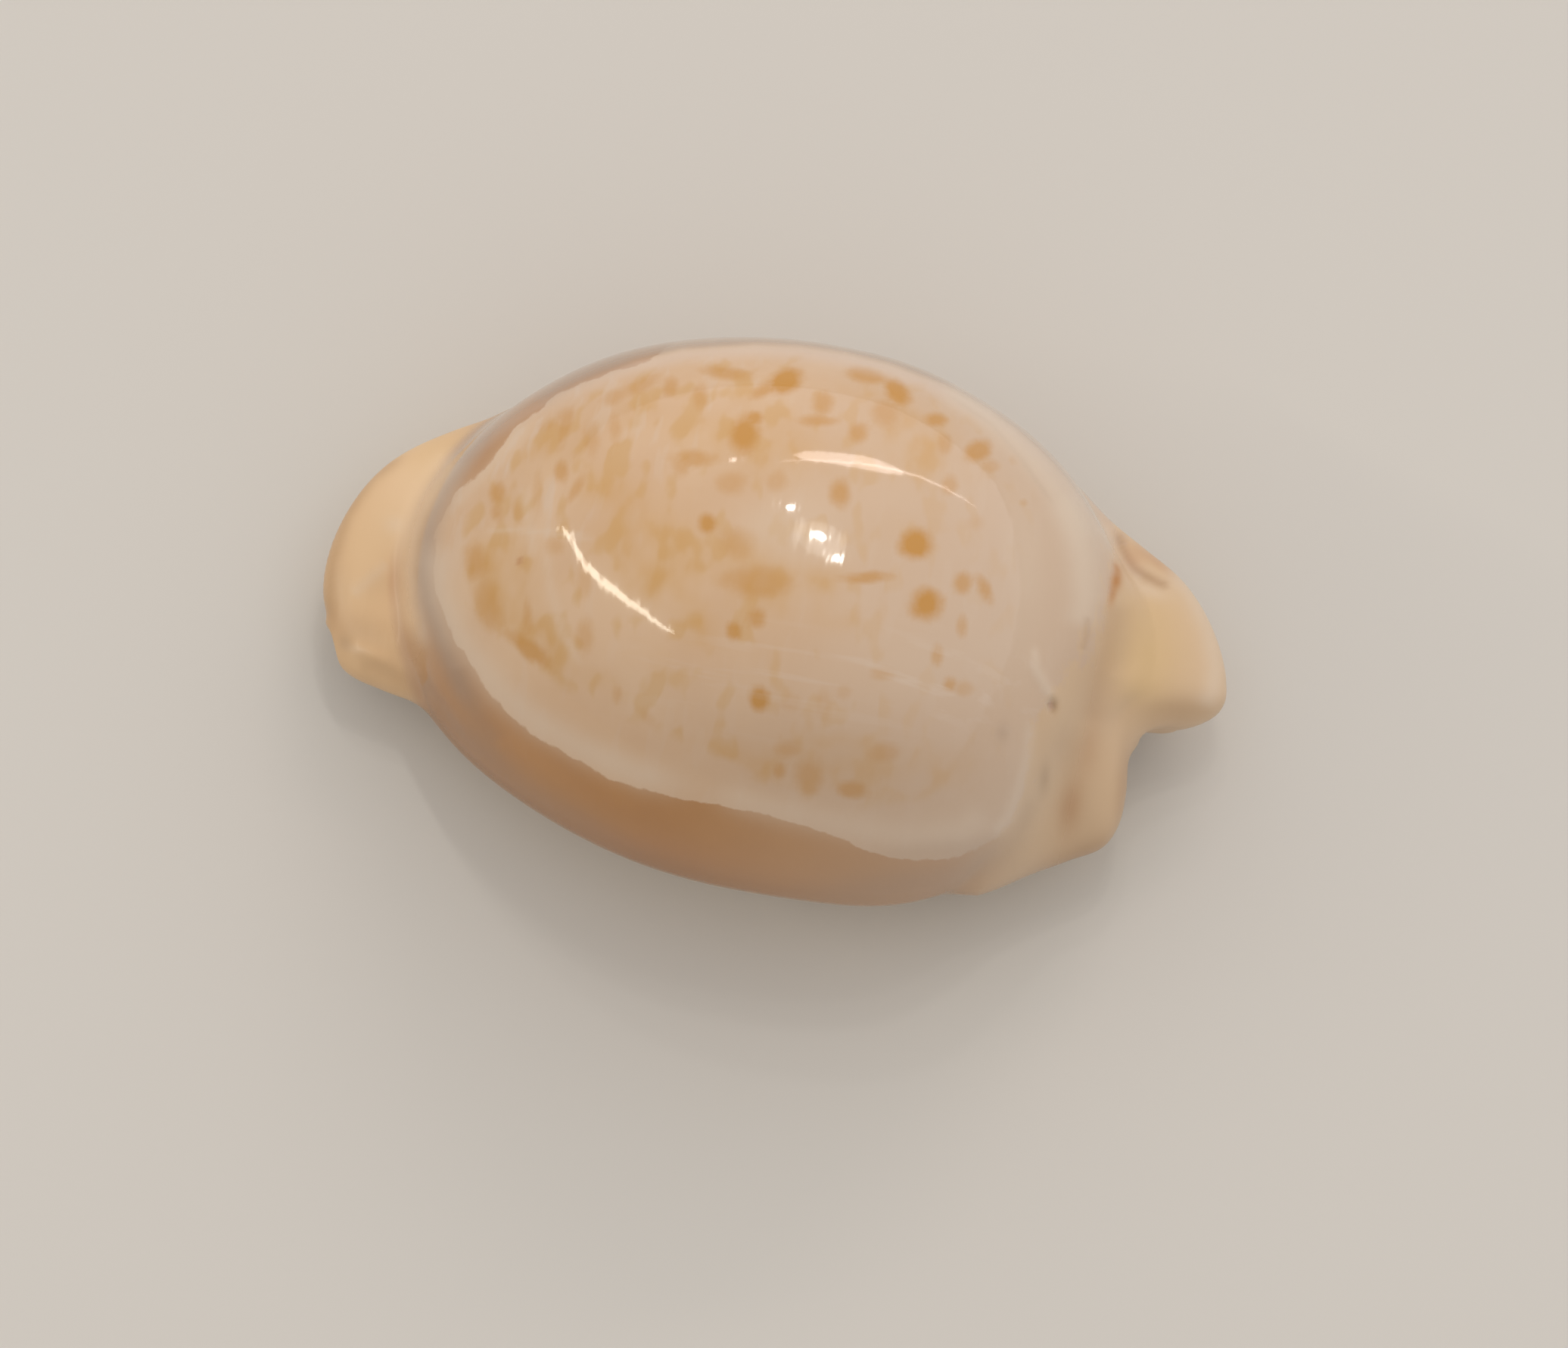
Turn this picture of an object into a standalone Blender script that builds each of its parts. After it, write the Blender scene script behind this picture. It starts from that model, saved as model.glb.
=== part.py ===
"""A cowrie shell, one grown piece, resting on its base with the aperture down.

+X is the posterior end, +Y the outer-lip (labral) side, +Z the back. The shell is a thick
sheet wound round a hollow: an outer and an inner surface, joined along the two toothed lips
of the aperture and round the rim of the canal at each end. Each surface is a grid of rows,
cut across the shell in its middle and fanned round an upright axis near each end, until the
last row's two halves meet over the canal. Lengths are in millimetres, angles in degrees.
"""

import bmesh
import bpy
import numpy as np

MM = 0.001
ANTERIOR = -1
POSTERIOR = 1

# Body whorl: the egg that makes the back
HALF_WIDTH = 11.68
HEIGHT = 19.5
BODY_MIDDLE_X = 0.4
BODY_AXIS_Y = [(-16, 0.3), (-10, 0.3), (-3, 0.0), (3, -0.1), (8, -0.25), (13, 0.4)]
BODY_REACH = {ANTERIOR: 16.5, POSTERIOR: 14.5}
BODY_BLUNTNESS = {ANTERIOR: 2.0, POSTERIOR: 2.5}
BACK_ROUNDNESS = 2.2
BASE_ROUNDNESS = 2.6
WIDEST_Z = [(-18, 3.6), (-14, 4.2), (-8, 6.4), (0, 7.6), (8, 7.0), (13, 5.2), (18, 4.4)]
BASE_Z = [(-18, 1.4), (-14, 0.9), (-8, 0.15), (0, 0), (8, 0.15), (13, 0.6), (16, 1.1)]
BASE_SUNK = 0.25
BASE_SHIFT_Y = 1.2

# Callus slab: the margins and the two extremities, its outline about the fan axes
AXIS_X = {ANTERIOR: -11.0, POSTERIOR: 10.5}
LABRAL_EDGE = [(-11, 8.6), (0, 11.2), (10.5, 9.6)]
COLUMELLAR_EDGE = [(-11, 7.6), (0, 10.8), (10.5, 9.1)]
ANTERIOR_OUTLINE = [
    (-90, 7.6), (-78, 6.55), (-66, 6.1), (-56, 6.35), (-45, 7.05), (-35, 7.9), (-25, 8.3),
    (-15, 8.2), (-3, 8.2), (16, 8.1), (36, 8.0), (62, 7.65), (73, 7.6), (90, 8.6),
]
POSTERIOR_OUTLINE = [
    (-90, 9.1), (-77, 8.1), (-64, 7.85), (-52, 7.95), (-45, 7.5), (-36, 6.5), (-26, 5.5),
    (-17, 5.6), (-9, 5.9), (-4, 7.6), (1, 8.65), (5, 9.0), (10, 9.05), (22, 8.9),
    (40, 8.55), (56, 8.1), (70, 8.2), (90, 9.6),
]
OUTLINE = {ANTERIOR: ANTERIOR_OUTLINE, POSTERIOR: POSTERIOR_OUTLINE}
CALLUS_Z = [(-18, 3.6), (-12, 3.8), (0, 4.4), (10, 4.6), (14, 4.5), (19, 4.2)]
CALLUS_HALF = [(-18, 2.1), (-12, 2.7), (0, 4.0), (10, 3.9), (14, 3.4), (19, 2.6)]
CALLUS_FLATNESS = 3.0

# Aperture and canals
APERTURE_Y = [(-18, -3.6), (-12, -1.3), (-4, 1.3), (4, 1.8), (11, 0.6), (16, -1.4)]
APERTURE_WIDTH = [(-18, 2.2), (-12, 3.6), (-4, 3.1), (6, 2.4), (13, 2.2), (16, 1.8)]
CANAL_TIP = {ANTERIOR: 6.0, POSTERIOR: 3.8}
CANAL_HEADING = {ANTERIOR: -29.0, POSTERIOR: -15.0}
CANAL_HEIGHT = {ANTERIOR: 2.4, POSTERIOR: 2.8}
CANAL_MOUTH = {ANTERIOR: 3.0, POSTERIOR: 2.2}
LIP_ROUND = 1.1
RIM_ROUND = 0.5
TIP_SHARE = 0.68

# Hollow
WALL = 1.5
BASE_WALL = 3.0
END_WALL = 2.2
HOLLOW_RISE = 2.0

# Teeth
TOOTH_PITCH = 1.5
TOOTH_HEIGHT = 0.4
LABRAL_TEETH = (-12.0, 12.0)
COLUMELLAR_TEETH = (-10.5, 9.0)

# Where the rays that find the surface start: shares of the callus's reach
MIDDLE_START = 0.4
END_START = {ANTERIOR: 0.6, POSTERIOR: 0.4}

# Mesh density
ROWS_PER_TOOTH = 3
FAN_ROWS = 15
OUTER_COLUMNS = 22
LIP_COLUMNS = 3
INNER_COLUMNS = 8
HALVINGS = 24

SHELL_COLOUR = (0.78, 0.64, 0.50, 1.0)


def ease(x, low, high):
    """Rise smoothly from 0 at low to 1 at high."""
    t = np.clip((x - low) / (high - low), 0.0, 1.0)
    return t * t * (3.0 - 2.0 * t)


def mix(a, b, share):
    return a + (b - a) * share


def along(x, stations):
    """A smooth curve through the stations: cubic pieces whose slopes are the neighbours' average."""
    xs, ys = np.array(stations, float).T
    step = np.diff(ys) / np.diff(xs)
    slope = np.concatenate([step[:1], (step[1:] + step[:-1]) / 2, step[-1:]])
    x = np.clip(x, xs[0], xs[-1])
    i = np.clip(np.searchsorted(xs, x, side="right") - 1, 0, len(xs) - 2)
    h = xs[i + 1] - xs[i]
    t = (x - xs[i]) / h
    rise = (2 * t + 1) * (1 - t) ** 2 * ys[i] + t * t * (3 - 2 * t) * ys[i + 1]
    return rise + h * t * (1 - t) * ((1 - t) * slope[i] - t * slope[i + 1])


def body_form(x, y, z):
    """The body whorl as a superellipsoid: under 1 inside it, 1 on its surface."""
    ahead = x - BODY_MIDDLE_X
    reach = np.where(ahead < 0, BODY_REACH[ANTERIOR], BODY_REACH[POSTERIOR])
    blunt = np.where(ahead < 0, BODY_BLUNTNESS[ANTERIOR], BODY_BLUNTNESS[POSTERIOR])
    widest = along(x, WIDEST_Z)
    lift = z - widest
    middle = along(x, BODY_AXIS_Y) + BASE_SHIFT_Y * ease(-lift, 0.0, 6.0)
    plan = (np.abs(ahead) / reach) ** blunt + ((y - middle) / HALF_WIDTH) ** 2
    slant = lift / np.sqrt(lift * lift + (plan + 0.01) * HALF_WIDTH**2)
    down = widest - along(x, BASE_Z) + BASE_SUNK
    upper = ease(slant, -0.6, 0.6)
    height = mix(down, HEIGHT - WIDEST_Z[3][1], upper)
    roundness = mix(BASE_ROUNDNESS, BACK_ROUNDNESS, upper)
    return plan ** (roundness / 2) + np.abs(lift / height) ** roundness


def callus_form(x, y, z):
    """The callus slab: under 1 inside it, 1 on its surface."""
    across = np.abs(y) / np.where(y > 0, along(x, LABRAL_EDGE), along(x, COLUMELLAR_EDGE))
    for end in (ANTERIOR, POSTERIOR):
        beyond = (x - AXIS_X[end]) * end
        heading = np.degrees(np.arctan2(y, beyond))
        fan = np.hypot(beyond, y) / along(heading, OUTLINE[end])
        across = np.where(beyond > 0, fan, across)
    lift = (z - along(x, CALLUS_Z)) / along(x, CALLUS_HALF)
    return across**CALLUS_FLATNESS + lift * lift


def cast(form, origin, direction):
    """How far along each direction the form's surface lies, found by halving."""
    near = np.zeros(direction.shape[:-1])
    far = np.full_like(near, 40.0)
    for _ in range(HALVINGS):
        middle = (near + far) / 2
        point = origin + direction * middle[..., None]
        inside = form(point[..., 0], point[..., 1], point[..., 2]) < 1
        near = np.where(inside, middle, near)
        far = np.where(inside, far, middle)
    return near


def join(a, b, width):
    """The larger of two reaches, with the valley between them rounded over the width."""
    close = np.clip(1 - np.abs(a - b) / width, 0.0, 1.0)
    return np.maximum(a, b) + close * close * width / 4


def valley_width(origin, direction):
    """A tight crease round the body, opening to a broad saddle over the posterior end."""
    x = origin[..., 0]
    upward = ease(direction[..., 2], 0.3, 0.9)
    columellar = ease(-origin[..., 1], -2.0, 2.0)
    return 0.6 + 3.0 * ease(x, 8.0, 12.5) * np.maximum(upward, columellar)


def unit(vector):
    return vector / np.linalg.norm(vector, axis=-1, keepdims=True)


def compass(heading, end):
    """The level direction at a heading, counted from the end's own way along X towards +Y."""
    turn = np.radians(heading)
    return np.stack([end * np.cos(turn), np.sin(turn), np.zeros_like(turn)], axis=-1)


def row_frames(side):
    """For every row of one side: its station on the axis, its heading, and its aperture edge.

    The rows run from the anterior canal to the posterior canal. Returned are the station, the
    outward direction, the aperture edge's place, the way into the aperture, the way up its
    wall, the radius that rounds the edge and the place where the hollow opens into it.
    """
    rows = []
    first, last = AXIS_X[ANTERIOR], AXIS_X[POSTERIOR]
    count = round((last - first) / TOOTH_PITCH * ROWS_PER_TOOTH)
    fan = np.linspace(1, 0, FAN_ROWS, endpoint=False)
    rows += [(ANTERIOR, first, q) for q in fan]
    rows += [(POSTERIOR, x, 0.0) for x in np.linspace(first, last, count + 1)]
    rows += [(POSTERIOR, last, q) for q in fan[::-1]]
    end, x, q = np.array(rows).T
    anterior = end < 0
    pick = lambda table: np.where(anterior, table[ANTERIOR], table[POSTERIOR])
    canal = pick(CANAL_HEADING)
    outward = compass(mix(side * 90.0, canal, q), end)

    tip_x = x + end * pick(CANAL_TIP) * np.clip(q / TIP_SHARE, 0, 1)
    half = along(tip_x, APERTURE_WIDTH) / 2
    middle = along(tip_x, APERTURE_Y)
    arch = np.clip((q - TIP_SHARE) / (1 - TIP_SHARE), 0, 1) * np.pi / 2
    on_rim = ease(q, TIP_SHARE - 0.15, TIP_SHARE + 0.2)
    radius = mix(LIP_ROUND, RIM_ROUND, on_rim)
    leg = (pick(CANAL_HEIGHT) - half) * on_rim
    flat = np.zeros_like(x)
    inward = np.stack([flat, -side * np.cos(arch), -np.sin(arch)], axis=-1)
    wall = unit(np.stack([-end * on_rim, flat, 1.0 - on_rim], axis=-1))
    base = along(tip_x, BASE_Z) - BASE_SUNK * (1 - on_rim)
    edge_x = tip_x + end * on_rim
    edge = np.stack([edge_x, middle, base + leg], axis=-1) - inward * half[:, None]
    station = np.stack([x, flat, flat], axis=-1)
    mouth_x = x + end * pick(CANAL_MOUTH) * ease(q, 0.0, 0.8)
    mouth = np.stack([mouth_x, middle, np.maximum(base, 0) + BASE_WALL * (1 - on_rim) + leg], axis=-1)
    mouth = mouth - inward * half[:, None]
    return station, outward, edge, inward, wall, radius, mouth


def sweep(origin, outward, start, finish, count):
    """Directions from start round to finish, through outward: count of them, for every row.

    They turn in the upright plane of outward, and lean out of it only as finish asks.
    """
    up = np.array([0.0, 0.0, 1.0])
    sideways = np.cross(up, outward)
    first = start - origin
    last = finish - origin
    angle_in = np.arctan2(first @ up, np.sum(first * outward, axis=-1))
    level = np.sum(last * outward, axis=-1)
    angle_out = np.arctan2(last @ up, level)
    angle_out = np.where(angle_out > 1.2, angle_out - 2 * np.pi, angle_out)
    lean = np.sum(last * sideways, axis=-1) / np.hypot(last @ up, level)
    t = np.linspace(0, 1, count)[None, :]
    angle = mix(angle_in[:, None], angle_out[:, None], t)
    turned = lean[:, None] * ease(t, 0.35, 1.0)
    direction = (
        np.cos(angle)[..., None] * outward[:, None]
        + np.sin(angle)[..., None] * up
        + turned[..., None] * sideways[:, None]
    )
    return unit(direction)


def teeth(x, span):
    """Height of a row of rounded ridges, from 0 between teeth to 1 on a crest."""
    first, last = span
    wave = 0.5 + 0.5 * np.cos(2 * np.pi * (x - first) / TOOTH_PITCH)
    return wave * ((x > first - TOOTH_PITCH / 2) & (x < last + TOOTH_PITCH / 2))


def outer_side(side):
    """Outer surface of one side, columns from the mid-line of the back to the aperture wall."""
    station, outward, edge, inward, wall, radius, _ = row_frames(side)
    up = np.array([0.0, 0.0, 1.0])
    reach = np.where(
        side > 0, along(station[:, 0], LABRAL_EDGE), along(station[:, 0], COLUMELLAR_EDGE)
    )
    for end in (ANTERIOR, POSTERIOR):
        heading = np.degrees(np.arctan2(outward[:, 1], outward[:, 0] * end))
        in_fan = np.abs(station[:, 0] - AXIS_X[end]) < 1e-9
        reach = np.where(in_fan, along(heading, OUTLINE[end]), reach)
    fanned = ease(np.abs(outward[:, 0]), 0.0, 0.5)
    end_start = np.where(station[:, 0] < 0, END_START[ANTERIOR], END_START[POSTERIOR])
    origin = station + outward * (mix(MIDDLE_START, end_start, fanned) * reach)[:, None]
    origin[:, 2] = along(origin[:, 0], WIDEST_Z)
    back = station + up * along(station[:, 0], WIDEST_Z)[:, None]
    rise = cast(body_form, back, np.broadcast_to(up, back.shape))
    crown = back + up * rise[:, None]
    start = edge - inward * radius[:, None]
    direction = sweep(origin, outward, crown, start, OUTER_COLUMNS + 1)
    origin = np.broadcast_to(origin[:, None], direction.shape)
    reach = join(
        cast(body_form, origin, direction),
        cast(callus_form, origin, direction),
        valley_width(origin, direction),
    )
    surface = origin + direction * reach[..., None]
    surface[:, 0] = crown

    turn = np.linspace(0, np.pi / 2, LIP_COLUMNS + 1)[1:]
    across = inward[:, None] * np.sin(turn)[None, :, None]
    rising = wall[:, None] * (1 - np.cos(turn))[None, :, None]
    lip = surface[:, -1:] + (across + rising) * radius[:, None, None]
    surface = np.concatenate([surface, lip], axis=1)

    span = LABRAL_TEETH if side > 0 else COLUMELLAR_TEETH
    crest = TOOTH_HEIGHT * teeth(surface[..., 0], span)
    facing = inward[:, None] * np.sin(turn)[None, :, None] - wall[:, None] * np.cos(turn)[None, :, None]
    crest = crest[:, -LIP_COLUMNS:] * ease(np.arange(LIP_COLUMNS) + 1, 0, LIP_COLUMNS)
    surface[:, -LIP_COLUMNS:] += facing * crest[..., None]
    return surface


def inner_side(side, lip):
    """Inner surface of one side, columns from the mid-line of the roof to the aperture wall."""
    station, outward, _, _, _, _, mouth = row_frames(side)
    centre = station.copy()
    centre[:, 2] = along(station[:, 0], WIDEST_Z) + HOLLOW_RISE
    up = np.array([0.0, 0.0, 1.0])
    direction = sweep(centre, outward, centre + up, mouth, INNER_COLUMNS + 1)
    origin = np.broadcast_to(centre[:, None], direction.shape)
    endways = np.abs(direction[..., 0]) * ease(-direction[..., 2], -0.5, 0.3)
    downward = ease(-direction[..., 2], 0.1, 0.8)
    wall = mix(mix(WALL, END_WALL, endways), BASE_WALL, downward)
    reach = cast(body_form, origin, direction) - wall
    surface = origin + direction * reach[..., None]
    return np.concatenate([surface, lip[:, None]], axis=1)


def sheet_faces(rows, columns, offset, flip):
    """Quads of a grid whose vertices are numbered row by row from offset."""
    index = offset + np.arange(rows * columns).reshape(rows, columns)
    corners = [index[:-1, :-1], index[1:, :-1], index[1:, 1:], index[:-1, 1:]]
    quads = np.stack(corners, axis=-1).reshape(-1, 4)
    return quads[:, ::-1] if flip else quads


def build_shell():
    grids = []
    for side in (1, -1):
        outer = outer_side(side)
        inner = inner_side(side, outer[:, -1])
        grids.append((outer, side < 0))
        grids.append((inner, side > 0))
    points = np.concatenate([grid.reshape(-1, 3) for grid, _ in grids])
    points[:, 2] = np.maximum(points[:, 2], 0.0)
    low, high = points.min(axis=0), points.max(axis=0)
    points -= ((low[0] + high[0]) / 2, (low[1] + high[1]) / 2, low[2])
    faces = []
    offset = 0
    for grid, flip in grids:
        rows, columns = grid.shape[:2]
        faces.extend(sheet_faces(rows, columns, offset, flip).tolist())
        offset += rows * columns
    data = bpy.data.meshes.new("shell")
    data.from_pydata((points * MM).tolist(), [], faces)
    mesh = bmesh.new()
    mesh.from_mesh(data)
    bmesh.ops.remove_doubles(mesh, verts=mesh.verts[:], dist=1e-7)
    bmesh.ops.dissolve_degenerate(mesh, edges=mesh.edges[:], dist=1e-7)
    bmesh.ops.triangulate(mesh, faces=mesh.faces[:])
    mesh.to_mesh(data)
    mesh.free()
    data.shade_smooth()
    shell = bpy.data.objects.new("shell", data)
    bpy.context.scene.collection.objects.link(shell)
    return shell


def shell_material():
    material = bpy.data.materials.new("glazed shell")
    material.use_nodes = True
    finish = material.node_tree.nodes["Principled BSDF"]
    finish.inputs["Base Color"].default_value = SHELL_COLOUR
    finish.inputs["Roughness"].default_value = 0.15
    finish.inputs["Metallic"].default_value = 0.0
    return material


for leftover in list(bpy.data.objects):
    bpy.data.objects.remove(leftover, do_unlink=True)
build_shell().data.materials.append(shell_material())
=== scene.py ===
# %% [markdown]
# A cowrie shell seen from above, its back marked with orange-brown spots. The imported solid gives the size and the
# place of everything, so it is loaded first.

import math

import bmesh
import bpy
import numpy as np
from mathutils import Matrix, Vector


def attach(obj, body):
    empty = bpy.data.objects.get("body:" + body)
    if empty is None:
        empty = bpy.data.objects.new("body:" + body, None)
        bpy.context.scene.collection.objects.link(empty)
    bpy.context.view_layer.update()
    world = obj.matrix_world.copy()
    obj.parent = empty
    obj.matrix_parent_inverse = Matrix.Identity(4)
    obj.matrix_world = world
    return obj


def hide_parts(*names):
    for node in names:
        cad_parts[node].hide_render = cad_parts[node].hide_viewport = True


MM = 0.001
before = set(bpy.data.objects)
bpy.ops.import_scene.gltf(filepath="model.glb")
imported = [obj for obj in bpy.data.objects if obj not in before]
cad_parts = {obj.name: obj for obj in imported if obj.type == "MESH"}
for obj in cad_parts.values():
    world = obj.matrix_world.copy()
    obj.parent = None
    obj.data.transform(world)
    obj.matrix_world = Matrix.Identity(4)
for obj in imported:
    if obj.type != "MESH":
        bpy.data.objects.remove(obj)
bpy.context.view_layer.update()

# %% [markdown]
# The shell's surface is a smooth form that formulas describe well: two closed forms, each given as a function that is
# under 1 inside and 1 on its surface. It could be sculpted or subdivided by hand, but formulas give an exact, even
# surface whose highlights run without bumps. Three small helpers come first.

# %% Helpers for smooth curves
ANTERIOR = -1
POSTERIOR = 1


def ease(x, low, high):
    """t squared times (3 - 2t), where t runs from 0 at low to 1 at high."""
    t = np.clip((x - low) / (high - low), 0.0, 1.0)
    return t * t * (3.0 - 2.0 * t)


def mix(a, b, share):
    """a plus the share of the way to b."""
    return a + (b - a) * share


def along(x, stations):
    """A smooth curve through (x, value) stations: cubics whose slope at a station is its neighbours' average."""
    xs, ys = np.array(stations, float).T
    step = np.diff(ys) / np.diff(xs)
    slope = np.concatenate([step[:1], (step[1:] + step[:-1]) / 2, step[-1:]])
    x = np.clip(x, xs[0], xs[-1])
    i = np.clip(np.searchsorted(xs, x, side="right") - 1, 0, len(xs) - 2)
    h = xs[i + 1] - xs[i]
    t = (x - xs[i]) / h
    rise = (2 * t + 1) * (1 - t) ** 2 * ys[i] + t * t * (3 - 2 * t) * ys[i + 1]
    return rise + h * t * (1 - t) * ((1 - t) * slope[i] - t * slope[i + 1])


print("ease at a quarter, half and three quarters:", ease(np.array([0.25, 0.5, 0.75]), 0.0, 1.0))

# %% [markdown]
# The body whorl is the egg that makes the back: blunt at the posterior end (+X), more pointed at the anterior end, and
# flattened underneath. A superellipsoid has a number for each of these traits, which a scaled ball hasn't.

# %% The body whorl
HALF_WIDTH = 11.68
HEIGHT = 19.5
BODY_MIDDLE_X = 0.4
BODY_AXIS_Y = [(-16, 0.3), (-10, 0.3), (-3, 0.0), (3, -0.1), (8, -0.25), (13, 0.4)]
BODY_REACH = {ANTERIOR: 16.5, POSTERIOR: 14.5}
BODY_BLUNTNESS = {ANTERIOR: 2.0, POSTERIOR: 2.5}
BACK_ROUNDNESS = 2.2
BASE_ROUNDNESS = 2.6
WIDEST_Z = [(-18, 3.6), (-14, 4.2), (-8, 6.4), (0, 7.6), (8, 7.0), (13, 5.2), (18, 4.4)]
BASE_Z = [(-18, 1.4), (-14, 0.9), (-8, 0.15), (0, 0), (8, 0.15), (13, 0.6), (16, 1.1)]
BASE_SUNK = 0.25
BASE_SHIFT_Y = 1.2


def body_form(x, y, z):
    """(plan) to the power n/2 plus |z above the widest line, over the height there| to the power n.

    plan is (x from the middle over the reach)^bluntness plus (y from the axis over the half width)^2.
    """
    ahead = x - BODY_MIDDLE_X
    reach = np.where(ahead < 0, BODY_REACH[ANTERIOR], BODY_REACH[POSTERIOR])
    blunt = np.where(ahead < 0, BODY_BLUNTNESS[ANTERIOR], BODY_BLUNTNESS[POSTERIOR])
    widest = along(x, WIDEST_Z)
    lift = z - widest
    middle = along(x, BODY_AXIS_Y) + BASE_SHIFT_Y * ease(-lift, 0.0, 6.0)
    plan = (np.abs(ahead) / reach) ** blunt + ((y - middle) / HALF_WIDTH) ** 2
    slant = lift / np.sqrt(lift * lift + (plan + 0.01) * HALF_WIDTH**2)
    down = widest - along(x, BASE_Z) + BASE_SUNK
    upper = ease(slant, -0.6, 0.6)
    height = mix(down, HEIGHT - WIDEST_Z[3][1], upper)
    roundness = mix(BASE_ROUNDNESS, BACK_ROUNDNESS, upper)
    return plan ** (roundness / 2) + np.abs(lift / height) ** roundness


print("the form is 1 on the crown:", float(body_form(BODY_MIDDLE_X, 0.0, HEIGHT)))

# %% [markdown]
# A grown cowrie thickens its margins and both ends with callus: a slab round the body's foot that reaches out as a
# broad lobe at the anterior end, and as a hooked lobe and an ear either side of the notch at the posterior end. Its
# outline is given as a distance from an upright axis near each end, by heading, because an outline that turns back on
# itself at the notch has only one distance for each heading, but two widths for one x.

# %% The callus slab
AXIS_X = {ANTERIOR: -11.0, POSTERIOR: 10.5}
LABRAL_EDGE = [(-11, 8.6), (0, 11.2), (10.5, 9.6)]
COLUMELLAR_EDGE = [(-11, 7.6), (0, 10.8), (10.5, 9.1)]
ANTERIOR_OUTLINE = [
    (-90, 7.6), (-78, 6.55), (-66, 6.1), (-56, 6.35), (-45, 7.05), (-35, 7.9), (-25, 8.3),
    (-15, 8.2), (-3, 8.2), (16, 8.1), (36, 8.0), (62, 7.65), (73, 7.6), (90, 8.6),
]  # fmt: skip
POSTERIOR_OUTLINE = [
    (-90, 9.1), (-77, 8.1), (-64, 7.85), (-52, 7.95), (-45, 7.5), (-36, 6.5), (-26, 5.5),
    (-17, 5.6), (-9, 5.9), (-4, 7.6), (1, 8.65), (5, 9.0), (10, 9.05), (22, 8.9),
    (40, 8.55), (56, 8.1), (70, 8.2), (90, 9.6),
]  # fmt: skip
OUTLINE = {ANTERIOR: ANTERIOR_OUTLINE, POSTERIOR: POSTERIOR_OUTLINE}
CALLUS_Z = [(-18, 3.6), (-12, 3.8), (0, 4.4), (10, 4.6), (14, 4.5), (19, 4.2)]
CALLUS_HALF = [(-18, 2.1), (-12, 2.7), (0, 4.0), (10, 3.9), (14, 3.4), (19, 2.6)]
CALLUS_FLATNESS = 3.0


def callus_form(x, y, z):
    """(distance out over the outline's distance)^3 plus (z from the slab's middle over its half height)^2."""
    across = np.abs(y) / np.where(y > 0, along(x, LABRAL_EDGE), along(x, COLUMELLAR_EDGE))
    for end in (ANTERIOR, POSTERIOR):
        beyond = (x - AXIS_X[end]) * end
        heading = np.degrees(np.arctan2(y, beyond))
        fan = np.hypot(beyond, y) / along(heading, OUTLINE[end])
        across = np.where(beyond > 0, fan, across)
    lift = (z - along(x, CALLUS_Z)) / along(x, CALLUS_HALF)
    return across**CALLUS_FLATNESS + lift * lift


print("callus reach at the posterior end, mm:", AXIS_X[POSTERIOR] + float(along(10.0, POSTERIOR_OUTLINE)))

# %% [markdown]
# A point of the surface is where a ray from inside leaves both forms. Halving the ray finds it for all rays at once.
# Where the two forms meet, the larger reach wins and the valley between them is rounded: tightly round most of the
# body, where the real callus ends in a crease, and broadly over the posterior end, which is a saddle.

# %% From forms to a surface
HALVINGS = 26
FARTHEST = 40.0


def cast(form, origin, direction):
    """How far along each direction the form's surface lies: halve the span that holds it, again and again."""
    near = np.zeros(direction.shape[:-1])
    far = np.full_like(near, FARTHEST)
    for _ in range(HALVINGS):
        middle = (near + far) / 2
        point = origin + direction * middle[..., None]
        inside = form(point[..., 0], point[..., 1], point[..., 2]) < 1
        near = np.where(inside, middle, near)
        far = np.where(inside, far, middle)
    return near


def join(a, b, width):
    """The larger of a and b, plus width/4 times (1 - |a - b|/width)^2 where they are nearly equal."""
    close = np.clip(1 - np.abs(a - b) / width, 0.0, 1.0)
    return np.maximum(a, b) + close * close * width / 4


def valley_width(origin, direction):
    """0.6 mm round the body, 2 mm on the labral side of the anterior end, and 3.6 mm over the posterior end except
    on its labral flank."""
    upward = ease(direction[..., 2], 0.3, 0.9)
    columellar = ease(-origin[..., 1], -2.0, 2.0)
    front = 1.4 * ease(-origin[..., 0], 9.0, 12.0) * ease(origin[..., 1], -2.5, 1.5)
    return 0.6 + front + 3.0 * ease(origin[..., 0], 8.0, 12.5) * np.maximum(upward, columellar)


def unit(vector):
    """Each vector over its own length."""
    return vector / np.linalg.norm(vector, axis=-1, keepdims=True)


straight_up = np.array([[0.0, 0.0, 1.0]])
body_middle = np.array([[BODY_MIDDLE_X, 0.0, 7.6]])
print("from the body's middle up to the crown, mm:", float(cast(body_form, body_middle, straight_up)[0]))

# %% [markdown]
# The shell is one sheet wound round a hollow, so its surface is four grids: an outer and an inner one for each side
# of the aperture. Their rows run across the shell in its middle and fan round the upright axis near each end, until
# the last row of both sides is the same one, over the canal. This cell works out, for every row, where it starts and
# which edge of the aperture it ends at.

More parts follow.
